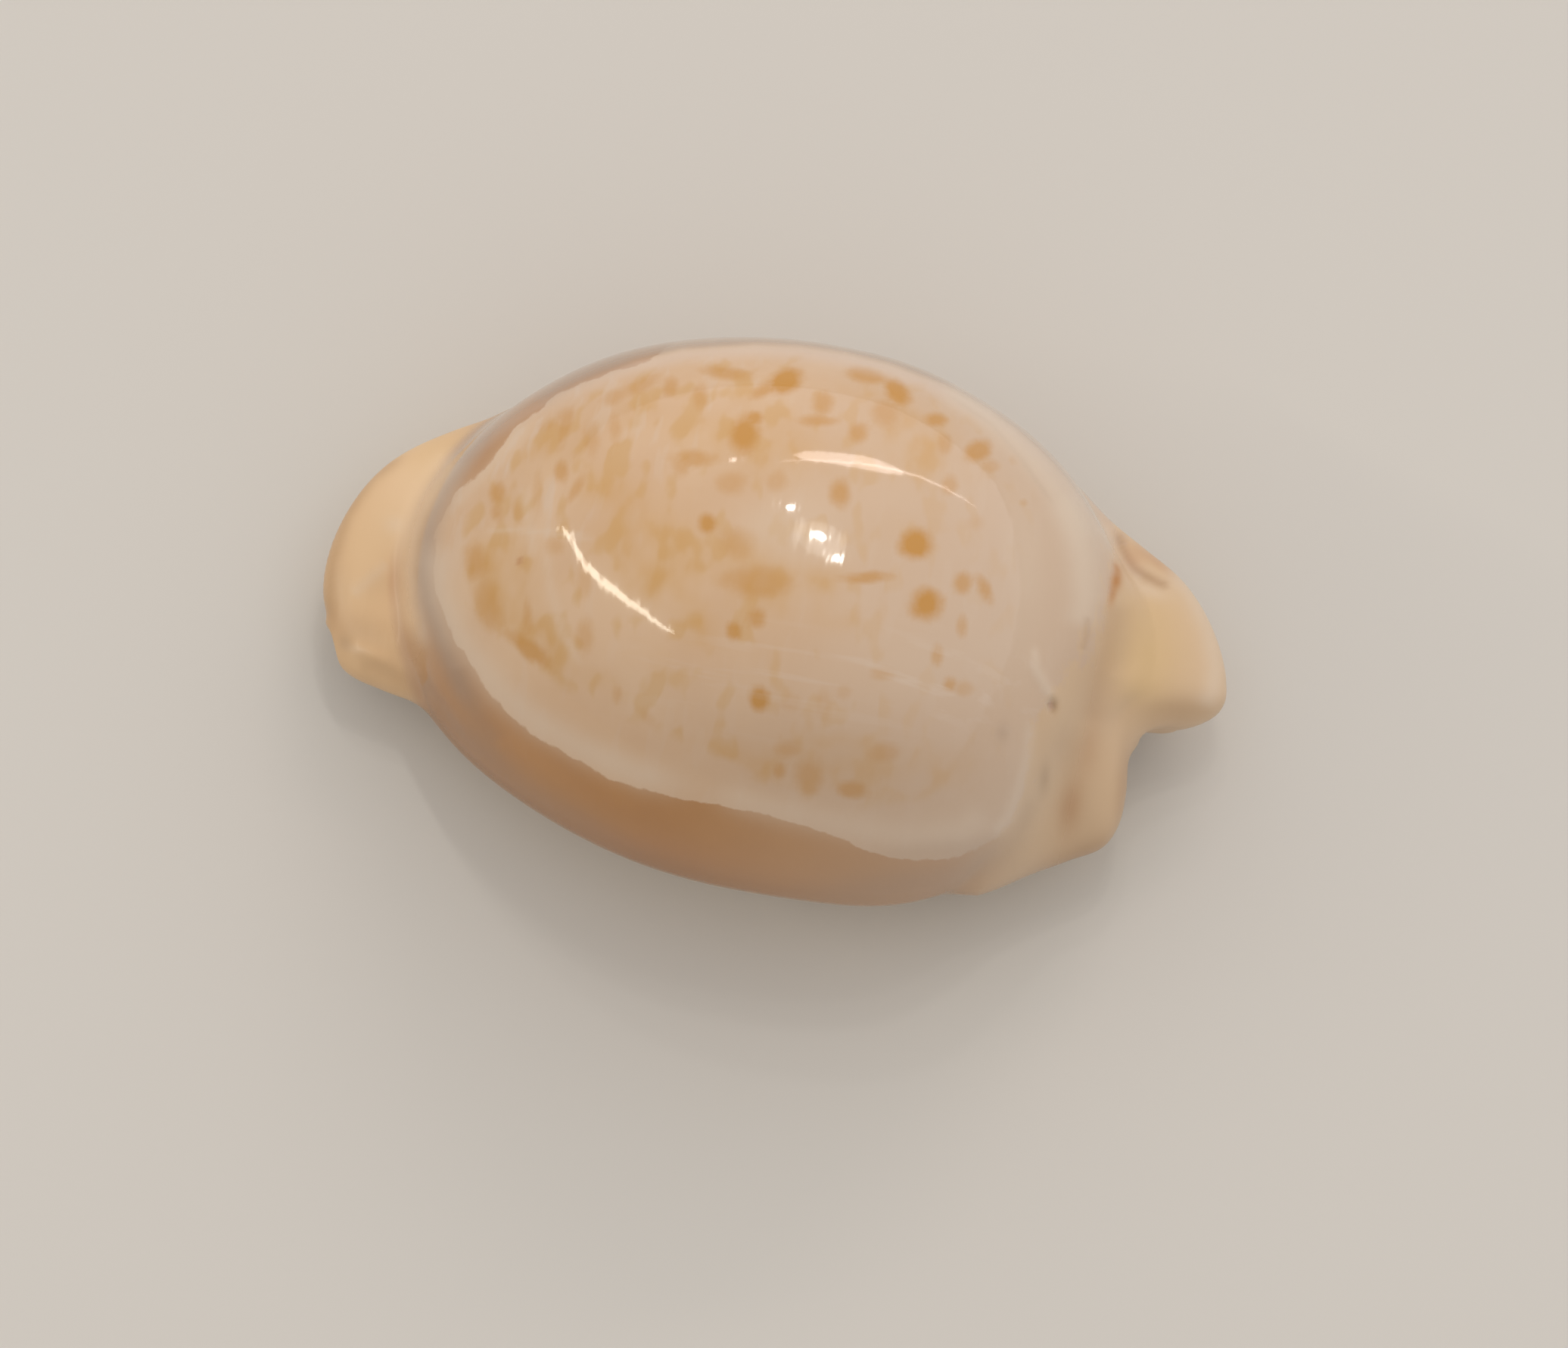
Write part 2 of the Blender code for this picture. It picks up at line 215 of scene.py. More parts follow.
# %% Rows of the grids
APERTURE_Y = [(-18, -3.6), (-12, -1.3), (-4, 1.3), (4, 1.8), (11, 0.6), (16, -1.4)]
APERTURE_WIDTH = [(-18, 2.2), (-12, 3.6), (-4, 3.1), (6, 2.4), (13, 2.2), (16, 1.8)]
CANAL_TIP = {ANTERIOR: 6.0, POSTERIOR: 3.8}
CANAL_HEADING = {ANTERIOR: -29.0, POSTERIOR: -15.0}
CANAL_HEIGHT = {ANTERIOR: 2.4, POSTERIOR: 2.8}
CANAL_MOUTH = {ANTERIOR: 3.0, POSTERIOR: 2.2}
LIP_ROUND = 1.1
RIM_ROUND = 0.5
TIP_SHARE = 0.68
BASE_WALL = 3.0
TOOTH_PITCH = 1.5
ROWS_PER_TOOTH = 8
FAN_ROWS = 64


def compass(heading, end):
    """The level direction (cos, sin) of the heading, counted from the end's own way along X towards +Y."""
    turn = np.radians(heading)
    return np.stack([end * np.cos(turn), np.sin(turn), np.zeros_like(turn)], axis=-1)


def row_frames(side):
    """Every row's station and outward direction, and its aperture edge: place, way in, way up, radius, mouth.

    q is 0 across the middle of the shell and 1 over the canal; in the fans the heading is (1 - q) times the
    side's 90 degrees plus q times the canal's heading. The edge arches over the canal as a half circle.
    """
    first, last = AXIS_X[ANTERIOR], AXIS_X[POSTERIOR]
    count = round((last - first) / TOOTH_PITCH * ROWS_PER_TOOTH)
    fan = np.linspace(1, 0, FAN_ROWS, endpoint=False)
    x = np.concatenate([np.full(FAN_ROWS, first), np.linspace(first, last, count + 1), np.full(FAN_ROWS, last)])
    q = np.concatenate([fan, np.zeros(count + 1), fan[::-1]])
    end = np.where(np.arange(len(x)) < FAN_ROWS, ANTERIOR, POSTERIOR)
    pick = lambda table: np.where(end == ANTERIOR, table[ANTERIOR], table[POSTERIOR])
    outward = compass(mix(side * 90.0, pick(CANAL_HEADING), q), end)

    tip_x = x + end * pick(CANAL_TIP) * np.clip(q / TIP_SHARE, 0, 1)
    half = along(tip_x, APERTURE_WIDTH) / 2
    middle = along(tip_x, APERTURE_Y)
    arch = np.clip((q - TIP_SHARE) / (1 - TIP_SHARE), 0, 1) * np.pi / 2
    on_rim = ease(q, TIP_SHARE - 0.15, TIP_SHARE + 0.2)
    leg = (pick(CANAL_HEIGHT) - half) * on_rim
    level = np.zeros_like(x)
    inward = np.stack([level, -side * np.cos(arch), -np.sin(arch)], axis=-1)
    upward = unit(np.stack([-end * on_rim, level, 1.0 - on_rim], axis=-1))
    base = along(tip_x, BASE_Z) - BASE_SUNK * (1 - on_rim)
    mouth_x = x + end * pick(CANAL_MOUTH) * ease(q, 0.0, 0.8)
    mouth_z = np.maximum(base, 0) + BASE_WALL * (1 - on_rim) + leg
    edge = np.stack([tip_x + end * on_rim, middle, base + leg], axis=-1) - inward * half[:, None]
    mouth = np.stack([mouth_x, middle, mouth_z], axis=-1) - inward * half[:, None]
    return np.stack([x, level, level], axis=-1), outward, edge, inward, upward, mix(LIP_ROUND, RIM_ROUND, on_rim), mouth


print("rows a side:", len(row_frames(1)[0]))

# %% [markdown]
# A column runs along each row: from the middle of the back out over the margin, under the base and round the lip into
# the aperture. The lip carries the teeth, a row of rounded ridges on each side of the aperture, 1.5 mm apart.

# %% The outer surface
MIDDLE_START = 0.4
END_START = {ANTERIOR: 0.6, POSTERIOR: 0.4}
OUTER_COLUMNS = 150
LIP_COLUMNS = 10
TOOTH_HEIGHT = 0.4
LABRAL_TEETH = (-12.0, 12.0)
COLUMELLAR_TEETH = (-10.5, 9.0)
UP = np.array([0.0, 0.0, 1.0])


def sweep(origin, outward, start, finish, count):
    """Directions from start round to finish, through outward, leaning aside only as finish asks.

    The angle runs with t (0.7 + 0.3 t), so that columns stand closer on the back, where the pattern is.
    """
    sideways = np.cross(UP, outward)
    first, last = start - origin, finish - origin
    angle_in = np.arctan2(first @ UP, np.sum(first * outward, axis=-1))
    level = np.sum(last * outward, axis=-1)
    angle_out = np.arctan2(last @ UP, level)
    angle_out = np.where(angle_out > 1.2, angle_out - 2 * np.pi, angle_out)
    lean = np.sum(last * sideways, axis=-1) / np.hypot(last @ UP, level)
    t = np.linspace(0, 1, count)[None, :]
    t = t * (0.7 + 0.3 * t)
    angle = mix(angle_in[:, None], angle_out[:, None], t)[..., None]
    turned = (lean[:, None] * ease(t, 0.35, 1.0))[..., None]
    return unit(np.cos(angle) * outward[:, None] + np.sin(angle) * UP + turned * sideways[:, None])


def teeth(x, span):
    """Half plus half the cosine of the way along in tooth pitches, inside the span and 0 outside it."""
    wave = 0.5 + 0.5 * np.cos(2 * np.pi * (x - span[0]) / TOOTH_PITCH)
    return wave * ((x > span[0] - TOOTH_PITCH / 2) & (x < span[1] + TOOTH_PITCH / 2))


def outer_side(side):
    """Rays cast from inside in a sweep, then a quarter circle round the lip with the teeth pushed out of it."""
    station, outward, edge, inward, wall, radius, _ = row_frames(side)
    reach = along(station[:, 0], LABRAL_EDGE if side > 0 else COLUMELLAR_EDGE)
    for end in (ANTERIOR, POSTERIOR):
        heading = np.degrees(np.arctan2(outward[:, 1], outward[:, 0] * end))
        in_fan = np.abs(station[:, 0] - AXIS_X[end]) < 1e-9
        reach = np.where(in_fan, along(heading, OUTLINE[end]), reach)
    fanned = ease(np.abs(outward[:, 0]), 0.0, 0.5)
    end_start = np.where(station[:, 0] < 0, END_START[ANTERIOR], END_START[POSTERIOR])
    origin = station + outward * (mix(MIDDLE_START, end_start, fanned) * reach)[:, None]
    origin[:, 2] = along(origin[:, 0], WIDEST_Z)
    back = station + UP * along(station[:, 0], WIDEST_Z)[:, None]
    crown = back + UP * cast(body_form, back, np.broadcast_to(UP, back.shape))[:, None]
    direction = sweep(origin, outward, crown, edge - inward * radius[:, None], OUTER_COLUMNS + 1)
    origin = np.broadcast_to(origin[:, None], direction.shape)
    ray = join(
        cast(body_form, origin, direction), cast(callus_form, origin, direction), valley_width(origin, direction)
    )
    surface = origin + direction * ray[..., None]
    surface[:, 0] = crown

    turn = np.linspace(0, np.pi / 2, LIP_COLUMNS + 1)[None, 1:, None]
    lip = surface[:, -1:] + (
        inward[:, None] * np.sin(turn) + wall[:, None] * (1 - np.cos(turn))
    ) * radius[:, None, None]
    surface = np.concatenate([surface, lip], axis=1)
    crest = TOOTH_HEIGHT * teeth(surface[..., 0], LABRAL_TEETH if side > 0 else COLUMELLAR_TEETH)
    facing = inward[:, None] * np.sin(turn) - wall[:, None] * np.cos(turn)
    grown = crest[:, -LIP_COLUMNS:] * ease(np.arange(LIP_COLUMNS) + 1, 0, LIP_COLUMNS)
    surface[:, -LIP_COLUMNS:] += facing * grown[..., None]
    return surface


outer_labral, outer_columellar = outer_side(1), outer_side(-1)
print("outer grids:", outer_labral.shape, outer_columellar.shape)

# %% [markdown]
# The inner surface keeps a wall's thickness inside the body whorl: thin over the back, thicker towards the ends and
# thickest at the base, as in a real cowrie. It shows only through the aperture, so it has fewer columns.

# %% The inner surface
INNER_COLUMNS = 24
WALL = 1.5
END_WALL = 2.2
HOLLOW_RISE = 2.0


def inner_side(side, lip):
    """The body's reach less the wall, swept from the roof of the hollow down to the mouth, then on to the lip."""
    station, outward, _, _, _, _, mouth = row_frames(side)
    centre = station.copy()
    centre[:, 2] = along(station[:, 0], WIDEST_Z) + HOLLOW_RISE
    direction = sweep(centre, outward, centre + UP, mouth, INNER_COLUMNS + 1)
    origin = np.broadcast_to(centre[:, None], direction.shape)
    endways = np.abs(direction[..., 0]) * ease(-direction[..., 2], -0.5, 0.3)
    downward = ease(-direction[..., 2], 0.1, 0.8)
    wall = mix(mix(WALL, END_WALL, endways), BASE_WALL, downward)
    surface = origin + direction * (cast(body_form, origin, direction) - wall)[..., None]
    return np.concatenate([surface, lip[:, None]], axis=1)


inner_labral = inner_side(1, outer_labral[:, -1])
inner_columellar = inner_side(-1, outer_columellar[:, -1])
print("inner grids:", inner_labral.shape)

# %% [markdown]
# The four grids become one mesh. Points that two grids share, along the back's middle line, the lips and the poles of
# the fans, are merged, which closes the surface all round.

# %% One closed mesh
BOX_MIDDLE = (0.1450, 0.0651)
UPRIGHT = np.eye(3)


def grid_faces(grid, offset, flip):
    """Four neighbours of the grid to a face: (r, c), (r+1, c), (r+1, c+1), (r, c+1), or the other way round."""
    rows, columns = grid.shape[:2]
    index = offset + np.arange(rows * columns).reshape(rows, columns)
    quads = np.stack([index[:-1, :-1], index[1:, :-1], index[1:, 1:], index[:-1, 1:]], axis=-1).reshape(-1, 4)
    return quads[:, ::-1] if flip else quads


def sheet_mesh(name, grids):
    """One mesh of all the grids, each with whether its faces are flipped, and shared points merged."""
    points = np.concatenate([grid.reshape(-1, 3) for grid, _ in grids])
    points[:, 2] = np.maximum(points[:, 2], 0.0)
    points[:, :2] -= BOX_MIDDLE
    offsets = np.cumsum([0] + [grid.shape[0] * grid.shape[1] for grid, _ in grids])
    faces = np.concatenate([grid_faces(grid, at, flip) for (grid, flip), at in zip(grids, offsets)])
    mesh = bpy.data.meshes.new(name)
    mesh.from_pydata((points * MM).tolist(), [], faces.tolist())
    work = bmesh.new()
    work.from_mesh(mesh)
    bmesh.ops.remove_doubles(work, verts=work.verts[:], dist=2e-7)
    bmesh.ops.dissolve_degenerate(work, edges=work.edges[:], dist=1e-7)
    open_edges = sum(len(edge.link_faces) != 2 for edge in work.edges)
    work.to_mesh(mesh)
    work.free()
    mesh.shade_smooth()
    print(name, "faces:", len(mesh.polygons), "open edges:", open_edges)
    return mesh


def added(name, data, place=(0.0, 0.0, 0.0), axes=UPRIGHT):
    """A new object in the scene: at the place in metres, its own X, Y and Z along the axes."""
    made = bpy.data.objects.new(name, data)
    made.matrix_world = Matrix.Translation(Vector(place)) @ Matrix(np.transpose(axes).tolist()).to_4x4()
    bpy.context.scene.collection.objects.link(made)
    return made


shell_mesh = sheet_mesh(
    "glossy_shell",
    [(outer_labral, False), (inner_labral, True), (outer_columellar, True), (inner_columellar, False)],
)
shell = added("glossy_shell", shell_mesh)
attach(shell, "root")
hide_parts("shell")

# %% [markdown]
# The camera looks down on the back through a long lens, leaning 15 degrees to the inner-lip side and turned so that
# the shell's long axis runs 10 degrees clockwise. It is set now, because the marks on the shell are placed by where
# they are seen: a point's picture place is its offset along the camera's right and up, over its depth.

# %% The camera
PICTURE = (2072, 1781)
LEAN = math.radians(15.0)
ROLL = math.radians(10.18)
DISTANCE = 420.0
PIXELS_PER_MM = 31.37
LOOKED_AT = np.array([-0.054, 0.0, 8.0])
SEEN_AT = (1027.0, 813.0)

level_up = np.array([0.0, math.cos(LEAN), math.sin(LEAN)])
camera_back = np.array([0.0, -math.sin(LEAN), math.cos(LEAN)])
camera_right = math.cos(ROLL) * np.array([1.0, 0.0, 0.0]) + math.sin(ROLL) * level_up
camera_up = -math.sin(ROLL) * np.array([1.0, 0.0, 0.0]) + math.cos(ROLL) * level_up
aim = (
    LOOKED_AT
    + camera_right * (PICTURE[0] / 2 - SEEN_AT[0]) / PIXELS_PER_MM
    - camera_up * (PICTURE[1] / 2 - SEEN_AT[1]) / PIXELS_PER_MM
)
camera_place = aim + camera_back * DISTANCE

camera_data = bpy.data.cameras.new("camera")
camera_data.sensor_width = 36.0
camera_data.lens = PIXELS_PER_MM * DISTANCE * camera_data.sensor_width / PICTURE[0]
camera_data.clip_start = 0.01
camera = added("camera", camera_data, camera_place * MM, [camera_right, camera_up, camera_back])
bpy.context.scene.camera = camera


def seen(points):
    """Picture place in pixels of points in mm: the middle, plus the offset along the camera's right, or less the one
    along its up, times the pixels a millimetre and the distance over the depth."""
    offset = points - camera_place
    scale = PIXELS_PER_MM * DISTANCE / -(offset @ camera_back)
    return PICTURE[0] / 2 + scale * (offset @ camera_right), PICTURE[1] / 2 - scale * (offset @ camera_up)


print("lens in mm:", round(camera_data.lens, 1), "the posterior tip is seen at:", seen(np.array([19.2, 1.5, 4.5])))

# %% [markdown]
# Marks are measured in picture pixels too, 31 to a millimetre. The helpers give how near a point is to a drawn line,
# how far it lies inside an outline, and how deep inside any of a table of ovals, with a sharp rim or a soft one.

# %% Reading and shaping the mesh in picture pixels
FAR_OUTSIDE = -4.0


def read_points(mesh):
    """Places in millimetres and normals of all the mesh's points."""
    count = len(mesh.vertices)
    places, normals = np.empty(count * 3), np.empty(count * 3)
    mesh.vertices.foreach_get("co", places)
    mesh.vertex_normals.foreach_get("vector", normals)
    return places.reshape(-1, 3) / MM, normals.reshape(-1, 3)


def to_line(u, v, line):
    """Distance in pixels from each point to the nearest of the line's straight stretches, and the way along, 0 to 1."""
    line = np.array(line, float)
    best, way = np.full(u.shape, 1e9), np.zeros(u.shape)
    for i, (start, stop) in enumerate(zip(line[:-1], line[1:])):
        run = stop - start
        t = np.clip(((u - start[0]) * run[0] + (v - start[1]) * run[1]) / (run @ run), 0, 1)
        gap = np.hypot(u - start[0] - t * run[0], v - start[1] - t * run[1])
        way = np.where(gap < best, (i + t) / (len(line) - 1), way)
        best = np.minimum(best, gap)
    return best, way


def inside_by(u, v, outline):
    """Distance in pixels to a closed outline, positive where a line to the left crosses it an odd number of times."""
    gap, _ = to_line(u, v, [*outline, outline[0]])
    crossings = np.zeros(u.shape, int)
    for (u0, v0), (u1, v1) in zip(outline, [*outline[1:], outline[0]]):
        level = (v0 > v) != (v1 > v)
        crossings += level & (u > u0 + (v - v0) / (v1 - v0 + 1e-12) * (u1 - u0))
    return np.where(crossings % 2 == 1, gap, -gap)


def oval(u, v, across, down, wide, high, turn=0.0):
    """Distance from an oval's middle in its own radii, the oval turned clockwise by so many degrees."""
    c, s = math.cos(math.radians(turn)), math.sin(math.radians(turn))
    du, dv = u - across, v - down
    return np.hypot((du * c + dv * s) / wide, (dv * c - du * s) / high)


def blots(u, v, table):
    """1 at a blot's middle, 0 on its rim and under 0 outside, for the nearest blot, and that blot's strength.

    A row of the table is: place across, place down, half width, half height, strength in percent, and the turn in
    degrees where the blot is turned.
    """
    depth, strength = np.full(u.shape, FAR_OUTSIDE), np.zeros(u.shape)
    for across, down, wide, high, percent, *turn in table:
        inside = 1 - oval(u, v, across, down, wide, high, *turn)
        strength = np.where(inside > depth, percent / 100, strength)
        depth = np.maximum(depth, inside)
    return depth, strength


def wash(u, v, ovals=(), strokes=()):
    """1 less the product, over all ovals and strokes, of (1 - strength times e^-(distance in half widths, squared)).

    A stroke is its line, its half width and its strength in percent; it thins out over a tenth at either end.
    """
    left = np.ones(u.shape)
    for across, down, wide, high, percent, *turn in ovals:
        left *= 1 - percent / 100 * np.exp(-(oval(u, v, across, down, wide, high, *turn) ** 2))
    for line, half_width, percent in strokes:
        gap, way = to_line(u, v, line)
        ends = ease(way, -0.02, 0.12) * ease(1 - way, -0.02, 0.12)
        left *= 1 - percent / 100 * ends * np.exp(-((gap / half_width) ** 2))
    return 1 - left


points, normals = read_points(shell_mesh)
u, v = seen(points)
print("points:", len(points), "seen from", u.min().round(), "to", u.max().round(), "across")

# %% [markdown]
# Fine relief that the formulas leave out is pressed into the finished mesh, each form where it shows: the crevice
# beside the posterior lobe, the groove along the anterior margin, the small pit under a flap of callus, and two low
# ridges and a dimple at the anterior end. Moving points along their normals keeps the surface closed. Before that, the
# sharp fold that two formulas leave over the posterior notch is rubbed smooth, as enamel fills such a corner, and so is
# the corner of the anterior canal.

# %% Fine relief
CREVICE = [(1478, 700), (1482, 722), (1490, 737), (1500, 752), (1515, 762), (1533, 771), (1550, 774)]
MARGIN_GROOVE = [(545, 847), (553, 886), (563, 909), (579, 930), (597, 961), (618, 984), (650, 1012), (700, 1044)]
FLAP = [(1366, 852), (1369, 885), (1380, 905), (1391, 921)]
LOBE_RIDGE = [(516, 742), (490, 764), (462, 788)]
CANAL_RIDGE = [(462, 858), (482, 862), (510, 874), (545, 896)]
# A line, its half width in pixels, its height in mm, and the shares of it over which it begins and ends.
LINES = [
    (CREVICE, 10.0, -0.20, 0.1, 0.3),
    (MARGIN_GROOVE, 9.0, -0.06, 0.2, 0.6),
    (FLAP, 8.0, 0.06, 0.3, None),
    (LOBE_RIDGE, 16.0, 0.05, 0.4, 0.4),
    (CANAL_RIDGE, 10.0, 0.10, 0.2, 0.4),
]
# An oval's middle and half sizes in pixels, and its depth in mm.
PITS = [(1391, 932, 6, 8, 0.18), (500, 775, 22, 22, 0.06)]
SADDLE = (15.6, -1.2, 7.0)
SADDLE_HALF = (2.6, 2.4, 2.2)
SADDLE_FOOT = 4.2
SADDLE_PASSES = 60
CANAL_CORNER = (434, 832, 22, 26)
CANAL_FOOT = 0.5
CANAL_PASSES = 25


def press(points, normals):
    """Points moved along their normals, where the camera sees them, by the sum of all lines and pits: each is its
    height times e^-(distance in half widths, squared)."""
    u, v = seen(points)
    shift = np.zeros(len(points))
    for line, half_width, height, begin, end in LINES:
        gap, way = to_line(u, v, line)
        ends = ease(way, 0.0, begin) * (ease(1 - way, 0.0, end) if end else 1.0)
        shift += height * np.exp(-((gap / half_width) ** 2)) * ends
    for *shape, depth in PITS:
        shift -= depth * np.exp(-(oval(u, v, *shape) ** 2))
    return points + normals * (shift * ease(normals @ camera_back, 0.02, 0.2))[:, None]


def rubbed(points, edges, share, passes):
    """Points moved, pass by pass, by their share of the way to their neighbours' average."""
    neighbours = np.bincount(edges.ravel(), minlength=len(points))[:, None]
    for _ in range(passes):
        total = np.zeros_like(points)
        np.add.at(total, edges[:, 0], points[edges[:, 1]])
        np.add.at(total, edges[:, 1], points[edges[:, 0]])
        points = mix(points, total / neighbours, share[:, None])
    return points


def moved(mesh, points):
    """Puts the points into the mesh, and reads its new places and normals."""
    mesh.vertices.foreach_set("co", (points * MM).ravel())
    mesh.update()
    return read_points(mesh)


edges = np.empty(len(shell_mesh.edges) * 2, int)
shell_mesh.edges.foreach_get("vertices", edges)
edges = edges.reshape(-1, 2)
from_saddle = np.linalg.norm((points - SADDLE) / SADDLE_HALF, axis=1)
points = rubbed(points, edges, 0.8 * np.exp(-(from_saddle**4)) * (points[:, 2] > SADDLE_FOOT), SADDLE_PASSES)
in_corner = 0.6 * np.exp(-(oval(*seen(points), *CANAL_CORNER) ** 2)) * (points[:, 2] > CANAL_FOOT)
points, normals = moved(shell_mesh, rubbed(points, edges, in_corner, CANAL_PASSES))
points, normals = moved(shell_mesh, press(points, normals))
u, v = seen(points)
print("highest point, mm:", points[:, 2].max().round(2))

# %% [markdown]
# The pattern is laid down by the living mantle, so it belongs to the surface. Each part of it is kept as an attribute
# on the mesh's points: the shader reads it and breaks its edge with noise. Brushing a picture onto the shell would
# show its pixels close by; these stay sharp. First come three outlines: a painted reflection of the overhead light,
# a paler greyish veil over the back whose wavy edge meets the darker flank; inside it, the field where the pattern
# lies; and the far rim of the back, a thin dark line with a pale painted reflection inside it. On the far side, out
# of the camera's sight, the height decides where the painted reflection ends.

# %% The painted reflection over the back
# Outline of the painted reflection of the overhead light: the back is paler inside it, and the flank shows outside it.
PAINTED_REFLECTION_OUTLINE = [
    (850, 481), (800, 495), (760, 510), (740, 518), (724, 529), (717, 540), (700, 551), (681, 565), (662, 590),
    (650, 606), (626, 631), (602, 652), (589, 675), (576, 701), (575, 732), (571, 748), (576, 779), (589, 818),
    (604, 855), (613, 860), (631, 891), (652, 922), (673, 943), (701, 966), (730, 985), (762, 1003), (803, 1029),
    (860, 1046), (916, 1057), (975, 1070), (1037, 1083), (1105, 1105), (1140, 1122), (1177, 1134), (1212, 1137),
    (1242, 1138), (1268, 1131), (1290, 1121), (1320, 1103), (1338, 1084), (1354, 1046), (1359, 1000), (1364, 955),
    (1378, 925), (1400, 905), (1425, 870), (1450, 820), (1466, 770), (1474, 730), (1480, 690), (1440, 600),
    (1350, 500), (1200, 420), (1000, 400), (900, 446),
]  # fmt: skip
PATTERN_FIELD = [
    (720, 556), (690, 584), (662, 616), (636, 646), (618, 680), (608, 722), (610, 761), (618, 795), (631, 823),
    (649, 836), (670, 849), (691, 868), (717, 888), (752, 912), (800, 938), (860, 962), (930, 990), (1000, 1030),
    (1060, 1058), (1130, 1070), (1200, 1060), (1270, 1050), (1320, 1010), (1335, 950), (1330, 880), (1345, 800),
    (1370, 720), (1370, 650), (1330, 580), (1260, 520), (1180, 482), (1060, 462), (960, 464), (860, 488), (780, 520),
]  # fmt: skip
REFLECTION_FOOT_Z = 10.5
REFLECTION_END_X = 11.5
HOLLOW_FOOT_Z = 1.5
RIM = [
    (300, 700), (640, 566), (700, 530), (760, 500), (830, 473), (900, 456), (1000, 449), (1060, 452), (1120, 461),
    (1180, 476), (1250, 503), (1310, 537), (1345, 563), (1378, 592), (1420, 637), (1455, 680), (1480, 708),
    (1900, 900), (1900, 1700), (300, 1700),
]  # fmt: skip


def keep(name, values):
    """One number a point, kept on the mesh for the shader."""
    shell_mesh.attributes.new(name, "FLOAT", "POINT").data.foreach_set("value", values.astype(np.float32))


px, py, pz = (points + np.array([*BOX_MIDDLE, 0.0])).T
outside = body_form(px, py, pz)
hollow = ease(0.985 - outside, 0.0, 0.03) * (pz > HOLLOW_FOOT_Z)
facing = normals @ camera_back
from_above = ease(facing, -0.05, 0.05) * (1 - hollow)
keep("hollow", hollow)
# The painted reflection: inside its outline the back is paler, standing for the reflection of the overhead light.
keep("painted_reflection", mix(np.minimum(pz - REFLECTION_FOOT_Z, REFLECTION_END_X - px), inside_by(u, v, PAINTED_REFLECTION_OUTLINE) / PIXELS_PER_MM, from_above))
keep("pattern_field", mix(-1.0, inside_by(u, v, PATTERN_FIELD) / PIXELS_PER_MM, from_above))
# The far rim: a thin dark line, and inside it a pale band that is a painted reflection at the grazing edge.
keep("from_rim", mix(-1.0, inside_by(u, v, RIM) / PIXELS_PER_MM, from_above))
down_the_side = ease(pz, 2.0, 9.5) * ease(py, 1.0, 4.0)
along_the_side = ease(px, -15.0, -6.0) * ease(-px, -14.0, -6.0)
keep("far_rim", along_the_side * mix(down_the_side, 1.0, from_above) * (1 - hollow))
print("points under the veil that the camera sees:", int(((inside_by(u, v, PAINTED_REFLECTION_OUTLINE) > 0) & (from_above > 0.5)).sum()))

# %% [markdown]
# The spots, drawn as blots with a depth that falls off evenly, so that their rims stay sharp whatever the spacing of
# the mesh; and the haze of the same pigment that lies deeper in the enamel, drawn as soft ovals.

# %% Spots and haze
SPOTS = [
    (1210, 718, 20, 20, 100), (1223, 800, 22, 21, 95), (935, 692, 12, 13, 85), (1110, 652, 14, 20, 70),
    (1036, 504, 26, 15, 100, -20), (1012, 515, 22, 9, 70, -25), (984, 574, 18, 25, 90, 14), (997, 552, 12, 9, 80),
    (1088, 533, 14, 17, 60), (1082, 556, 24, 8, 60), (1133, 572, 13, 13, 60), (1170, 546, 18, 18, 50),
    (1150, 497, 32, 10, 70, 12), (1183, 516, 22, 13, 90, 45), (1236, 554, 16, 9, 70, 8), (1249, 588, 10, 13, 45),
    (1293, 595, 18, 13, 70, -30), (1310, 616, 12, 8, 30), (1342, 607, 9, 8, 25), (1255, 641, 11, 13, 40),
    (1271, 770, 12, 15, 60), (1302, 780, 9, 20, 60, -20), (1271, 828, 8, 14, 45), (1238, 867, 9, 15, 60),
    (1255, 904, 10, 11, 65), (1273, 910, 14, 9, 30), (1004, 924, 13, 17, 95, -15), (969, 834, 10, 13, 75, -15),
    (1001, 817, 12, 13, 65), (886, 511, 10, 13, 50, 20), (925, 526, 10, 16, 50), (959, 493, 30, 9, 60, 8),
    (917, 606, 30, 11, 55, 4), (900, 614, 12, 15, 40), (966, 637, 20, 16, 40), (1027, 636, 14, 14, 35),
    (747, 560, 8, 30, 50, 14), (742, 624, 9, 15, 55), (741, 545, 10, 12, 40, 20), (722, 558, 12, 12, 40),
    (657, 652, 10, 15, 60, 10), (656, 678, 8, 13, 50), (760, 648, 7, 22, 50, 30), (684, 677, 7, 14, 30),
    (710, 645, 7, 26, 25, 4), (628, 744, 16, 24, 50), (735, 722, 13, 15, 30), (773, 768, 9, 22, 25),
    (644, 800, 18, 34, 45, -14), (697, 815, 7, 28, 40), (700, 860, 36, 14, 70, 36), (773, 843, 12, 24, 35),
    (816, 918, 7, 13, 35), (845, 510, 26, 9, 40, -25), (812, 524, 18, 9, 40, -30), (782, 580, 10, 24, 35),
    (813, 566, 8, 18, 35), (626, 612, 9, 22, 50, 38), (648, 585, 7, 12, 40, 40), (975, 716, 22, 20, 45),
    (1000, 768, 46, 19, 50), (1143, 763, 34, 8, 65, -3), (1041, 989, 18, 11, 40), (1029, 1018, 8, 10, 50),
    (1070, 1026, 18, 24, 45), (1070, 1040, 14, 12, 40), (1127, 1044, 20, 11, 60, 8), (1169, 995, 21, 13, 35),
    (1166, 890, 16, 9, 35), (1296, 1058, 16, 20, 25, 20), (1115, 914, 9, 9, 20), (1045, 928, 14, 11, 20),
    (1088, 930, 10, 20, 20), (857, 950, 18, 8, 20, 50), (1290, 690, 12, 10, 15), (1353, 664, 6, 6, 30),
]  # fmt: skip
